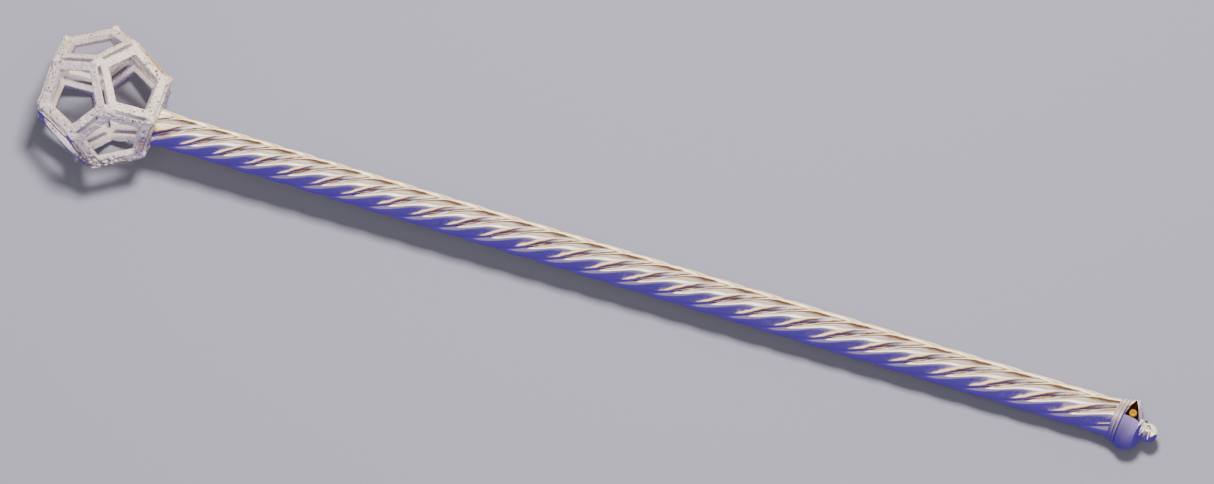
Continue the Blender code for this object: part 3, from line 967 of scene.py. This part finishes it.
def matt_silver(name):
    """Granulated silver, whitened and dull, with dark pits and specks that thin out on the side facing
    the key lamp as painted light, a painted gold reflection on one side of the rim, a golden spot, and
    patches rubbed bright."""
    nodes = MaterialNodes(name)
    place = nodes.coords()
    drift = nodes.add("ShaderNodeTexNoise", {"Vector": place, "Scale": 700.0, "Detail": 2.0})
    bent = nodes.add("ShaderNodeVectorMath", {0: drift.outputs["Color"], 1: (PIT_DRIFT,) * 3, 2: place},
                     operation="MULTIPLY_ADD").outputs[0]
    grain = nodes.noise(place, scale=1400.0, detail=3.0, rough=0.7)
    lumps = nodes.noise(place, scale=340.0, detail=4.0, rough=0.72)
    patch = nodes.noise(place, scale=60.0, detail=3.0, rough=0.5)
    density = nodes.noise(place, scale=95.0, detail=2.0, rough=0.5)
    blots = nodes.noise(bent, scale=420.0, detail=2.0, rough=0.55)
    specks = nodes.noise(place, scale=1150.0, detail=2.0, rough=0.6)

    reach = nodes.math("SUBTRACT", blots, nodes.ramp(density, 0.35, 0.65, to_low=0.05, to_high=-0.05))
    # The pits thin out on the side facing the key lamp: painted light.
    pitted = nodes.ramp(nodes.attribute("pitted"), 0.0, 0.9, to_low=0.12, to_high=1.0)
    pits = nodes.math("MULTIPLY", nodes.ramp(reach, 0.388, 0.315), pitted)
    colour = nodes.mix(nodes.ramp(patch, 0.35, 0.65), MATT_WHITE, MATT_GREYER)
    colour = nodes.mix(nodes.ramp(specks, 0.50, 0.36), colour, MATT_SPECKS)
    # A painted gold reflection on the lumps of one side of the rim.
    gold_reflection_lumps = nodes.ramp(lumps, 0.38, 0.52, to_low=0.35, to_high=0.95)
    gold_reflection = nodes.math("MULTIPLY", nodes.attribute("gold_reflection"), gold_reflection_lumps)
    colour = nodes.mix(gold_reflection, colour, RIM_GOLD_REFLECTION)
    colour = nodes.mix(nodes.attribute("gilt"), colour, SPOT_GOLD)
    hollow = nodes.ramp(nodes.attribute("hollow"), 0.25, 0.85, to_low=0.0, to_high=0.85)
    dark = nodes.math("MAXIMUM", nodes.math("MULTIPLY", pits, PIT_DARKNESS), hollow)
    colour = nodes.mix(dark, colour, MATT_DARK)

    height = nodes.math("ADD", lumps, nodes.math("MULTIPLY", grain, GRAIN_BUMP))
    height = nodes.math("SUBTRACT", height, nodes.math("MULTIPLY", pits, PIT_BUMP))
    polished = nodes.math("MULTIPLY", nodes.attribute("bright"), nodes.ramp(patch, 0.40, 0.52))
    roughness = nodes.math("MULTIPLY", nodes.ramp(grain, 0.3, 0.7, to_low=0.13, to_high=0.33),
                           nodes.ramp(polished, 0.0, 1.0, to_low=1.0, to_high=0.5))
    metallic = nodes.ramp(polished, 0.0, 1.0, to_low=MATT_METALLIC, to_high=1.0)
    nodes.set(Base_Color=colour, Metallic=metallic, Roughness=roughness,
              Normal=nodes.bump(height, strength=0.9, distance=0.0014))
    return nodes.material


def gilding(name):
    """Thin, slightly uneven gilt with a dark middle."""
    nodes = MaterialNodes(name)
    place = nodes.coords()
    grain = nodes.noise(place, scale=2600.0, detail=3.0, rough=0.6)
    patch = nodes.noise(place, scale=500.0, detail=3.0, rough=0.5)
    colour = nodes.mix(nodes.ramp(patch, 0.35, 0.65), GILT_LIGHT, GILT_DEEP)
    colour = nodes.mix(nodes.attribute("hollow"), colour, GILT_DARK)
    nodes.set(Base_Color=colour, Metallic=GILT_METALLIC,
              Roughness=nodes.ramp(grain, 0.3, 0.7, to_low=0.3, to_high=0.45),
              Normal=nodes.bump(grain, strength=0.4, distance=0.0002))
    return nodes.material


# ---------------------------------------------------------------- stage

def build_floor():
    size = FLOOR_HALF_SIZE
    mesh = bpy.data.meshes.new("floor")
    mesh.from_pydata([(-size, -size, 0), (size, -size, 0), (size, size, 0), (-size, size, 0)], [],
                     [(0, 1, 2, 3)])
    floor = bpy.data.objects.new("floor", mesh)
    bpy.context.collection.objects.link(floor)
    nodes = MaterialNodes("floor_paper")
    nodes.set(Base_Color=FLOOR_COLOUR, Roughness=FLOOR_ROUGHNESS, Specular_IOR_Level=FLOOR_SPECULAR)
    mesh.materials.append(nodes.material)
    floor.visible_glossy = False


def build_lamps():
    """The lamps light the metal, but it doesn't mirror them."""
    for name, place, size, energy, colour in LAMPS:
        data = bpy.data.lights.new(name, "AREA")
        data.shape = "RECTANGLE"
        data.size, data.size_y = size
        data.energy = energy
        data.color = colour
        lamp = bpy.data.objects.new(name, data)
        bpy.context.collection.objects.link(lamp)
        lamp.location = place
        lamp.rotation_euler = (Vector(LAMP_AIM) - Vector(place)).to_track_quat("-Z", "Y").to_euler()
        lamp.visible_camera = False
        lamp.visible_glossy = False


class WorldNodes(Nodes):
    """The world's nodes, with bands of colour."""

    def colours(self, value, low, high, stops):
        """Colours along a value, at places given in the value's own unit."""
        ramp = self.add("ShaderNodeValToRGB", {"Fac": self.ramp(value, low, high)})
        elements = ramp.color_ramp.elements
        for index, (where, colour) in enumerate(stops):
            share = (where - low) / (high - low)
            element = elements[index] if index < 2 else elements.new(share)
            element.position = share
            element.color = (*colour, 1)
        return ramp.outputs["Color"]

    def share(self, value, start, end):
        """0 up to one value, 1 from another, and a straight line between."""
        return self.add("ShaderNodeMath", {0: value, 1: 1 / (end - start), 2: start / (start - end)},
                        operation="MULTIPLY_ADD", use_clamp=True).outputs[0]


def mirrored_bands(nodes):
    """The colour that the metal mirrors, by direction."""
    direction = nodes.add("ShaderNodeTexCoord").outputs["Generated"]
    turn = nodes.add("ShaderNodeVectorRotate",
                     {"Vector": direction, "Angle": math.radians(SURROUND_START)}, rotation_type="X_AXIS")
    split = nodes.add("ShaderNodeSeparateXYZ", {0: turn.outputs["Vector"]})
    ahead = nodes.math("MULTIPLY", split.outputs["Y"], -1.0)
    turned_by = nodes.math("DEGREES", nodes.math("ARCTAN2", split.outputs["Z"], ahead))
    clock = nodes.math("ADD", turned_by, SURROUND_START)
    along = split.outputs["X"]
    headwards = nodes.math("MINIMUM", along, 0.0)
    low_place = nodes.math("MULTIPLY_ADD", headwards, HEAD_SHEAR, clock)
    footwards = nodes.math("MAXIMUM", along, FOOT_SHEAR_FROM)
    back_place = nodes.math("MULTIPLY_ADD", footwards, FOOT_SHEAR, clock)
    ends = (SURROUND_START - 180, SURROUND_START + 180)

    low = nodes.colours(low_place, *ends, LOW_BANDS)
    high = nodes.colours(clock, *ends, HIGH_BANDS)
    back = nodes.colours(back_place, *ends, BACK_BANDS)
    foot_low = nodes.colours(along, -1.0, 1.0, FOOT_LOW_BANDS)
    foot_high = nodes.colours(along, -1.0, 1.0, FOOT_HIGH_BANDS)
    foot = nodes.mix(nodes.share(clock, *FOOT_LOW_TO_HIGH), foot_low, foot_high)
    foot_clocks = nodes.math("MULTIPLY", nodes.share(clock, *FOOT_STARTS), nodes.share(clock, *FOOT_ENDS))
    foot_shows = nodes.math("MULTIPLY", nodes.share(along, *FOOT_LEANS_FROM), foot_clocks)
    front = nodes.mix(nodes.share(clock, *LOW_TO_HIGH), low, high)
    front = nodes.mix(foot_shows, front, foot)
    return nodes.mix(nodes.share(clock, *FRONT_TO_BACK), front, back)


def build_world():
    """Plain light for the floor, and for the metal the bands that a studio's cards make in it."""
    world = bpy.data.worlds.new("studio")
    bpy.context.scene.world = world
    world.use_nodes = True
    nodes = WorldNodes(world.node_tree)
    cards = nodes.tree.nodes["Background"]
    nodes.give(cards.inputs["Color"], mirrored_bands(nodes))
    plain = nodes.add("ShaderNodeBackground", {"Color": PLAIN_COLOUR, "Strength": PLAIN_STRENGTH})
    glossy = nodes.add("ShaderNodeLightPath").outputs["Is Glossy Ray"]
    either = nodes.add("ShaderNodeMixShader", {0: glossy, 1: plain.outputs[0], 2: cards.outputs[0]})
    nodes.give(nodes.tree.nodes["World Output"].inputs["Surface"], either.outputs[0])


def build_camera():
    azimuth, elevation = math.radians(CAMERA_AZIMUTH), math.radians(CAMERA_ELEVATION)
    backward = Vector((math.sin(azimuth) * math.cos(elevation), -math.cos(azimuth) * math.cos(elevation),
                       math.sin(elevation)))
    level = Vector((math.cos(azimuth), math.sin(azimuth), 0))
    raised = backward.cross(level)
    roll = math.radians(CAMERA_ROLL)
    right = level * math.cos(roll) + raised * math.sin(roll)
    up = backward.cross(right)
    data = bpy.data.cameras.new("camera")
    data.lens = CAMERA_LENS
    data.sensor_width = CAMERA_SENSOR
    data.clip_end = CAMERA_CLIP_END
    camera = bpy.data.objects.new("camera", data)
    bpy.context.collection.objects.link(camera)
    turn = Matrix((right, up, backward)).transposed().to_4x4()
    camera.matrix_world = Matrix.Translation(Vector(CAMERA_TARGET) + backward * CAMERA_DISTANCE) @ turn
    bpy.context.scene.camera = camera


# ---------------------------------------------------------------- all together

place = lying()
pieces = (
    (build_head(place @ head_frame(), matt_silver("matt_silver")),
     "head", "silver_matt"),
    (build_shaft(place, polished_silver("polished_silver_grooved", "groove")),
     "shaft", "silver_polished"),
    (build_foot(place @ foot_frame(), polished_silver("polished_silver_turned", "recess")),
     "foot_finial", "silver_polished"),
    (build_rosette(place @ foot_frame(), gilding("gilding")),
     "foot_gilt_rosette", "gilt"),
)
for piece, node, slot in pieces:
    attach(piece, "root")
    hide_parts(node)

build_floor()
build_world()
build_lamps()
build_camera()
